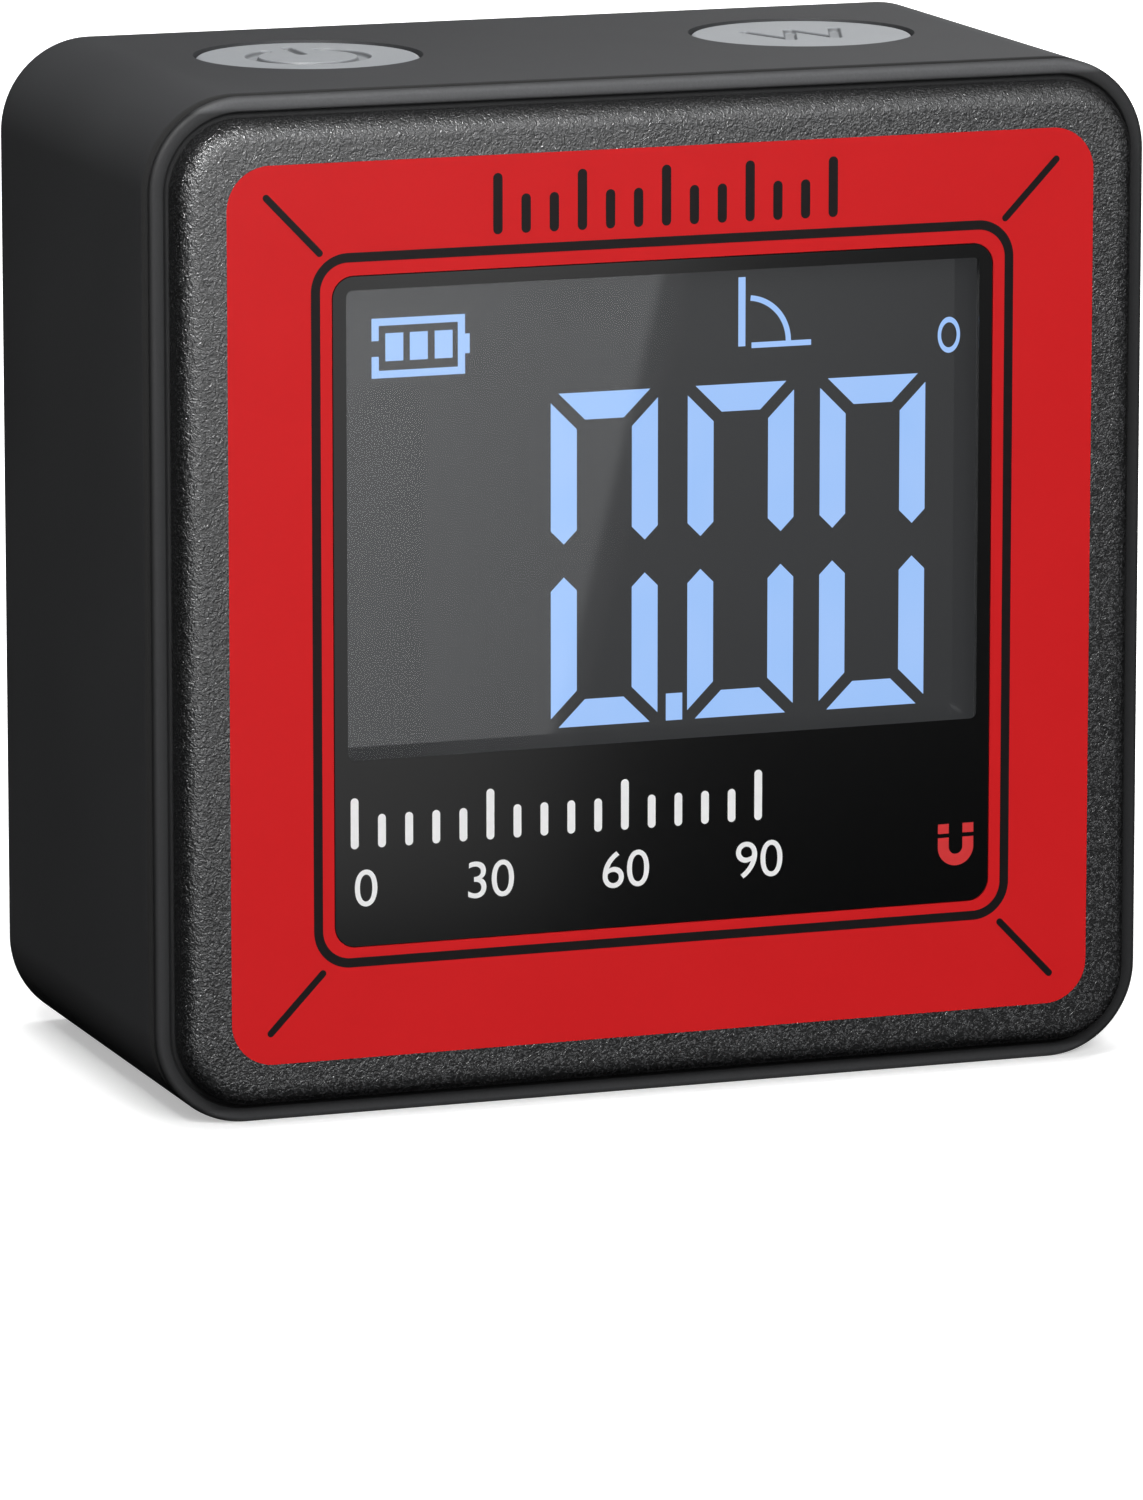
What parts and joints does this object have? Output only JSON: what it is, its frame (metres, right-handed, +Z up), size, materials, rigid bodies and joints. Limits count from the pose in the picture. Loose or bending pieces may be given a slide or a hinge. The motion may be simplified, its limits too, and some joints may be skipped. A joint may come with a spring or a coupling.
{
  "type": "digital angle gauge",
  "caption": "Square pocket angle gauge with a backlit display in a red-framed front, round keys on top, magnets in its flat base and a charging socket.",
  "frame": {"origin": "middle of the base's underside, where the gauge stands", "axes": "+Z up, the display faces -Y, +X to the right as the display is read"},
  "size_m": [0.0536, 0.0278, 0.0523],
  "materials": {
    "case_plastic": "fine matte, moulded",
    "bezel_plastic": "leather-like moulded grain",
    "label_red": "printed film, satin",
    "window_black": "printed acrylic",
    "display_glass": "dark negative display",
    "adhesive": "double-sided tape",
    "white_plastic": "moulded",
    "contact_rubber": "striped silicone",
    "circuit_board": "green solder mask",
    "chip_black": "moulded resin",
    "steel": "plated",
    "magnet_metal": "nickel plated",
    "battery_foil": "laminated pouch",
    "lead_red": "insulated wire",
    "key_grey": "satin, moulded",
    "ribbon_amber": "flexible film"
  },
  "bodies": {
    "case": {"rear_case": "case_plastic", "front_bezel": "bezel_plastic", "front_label": "label_red", "display_window": "window_black", "window_tape": "adhesive", "lcd_panel": "display_glass", "backlight": "white_plastic", "contact_strip": "contact_rubber", "display_frame": "white_plastic", "main_board": "circuit_board", "processor": "chip_black", "tilt_sensor": "chip_black", "charging_chip": "chip_black", "board_screws": "steel", "charging_socket": "steel", "socket_tongue": "chip_black", "battery": "battery_foil", "battery_pad": "adhesive", "battery_leads": "lead_red", "battery_connector": "white_plastic", "power_switch": "chip_black", "mode_switch": "chip_black", "key_board": "circuit_board", "key_board_screws": "steel", "key_ribbon": "ribbon_amber", "magnets": "magnet_metal", "case_screws": "steel"},
    "power_button": {"power_key": "key_grey", "power_switch_stem": "white_plastic"},
    "mode_button": {"mode_key": "key_grey", "mode_switch_stem": "white_plastic"}
  },
  "joints": [
    {"name": "power_press", "type": "slide", "parent": "case", "child": "power_button", "axis": [0, 0, -1], "range_m": [0, 0.0004], "stiffness_N_per_m": 4000},
    {"name": "mode_press", "type": "slide", "parent": "case", "child": "mode_button", "axis": [0, 0, -1], "range_m": [0, 0.0004], "stiffness_N_per_m": 4000}
  ]
}
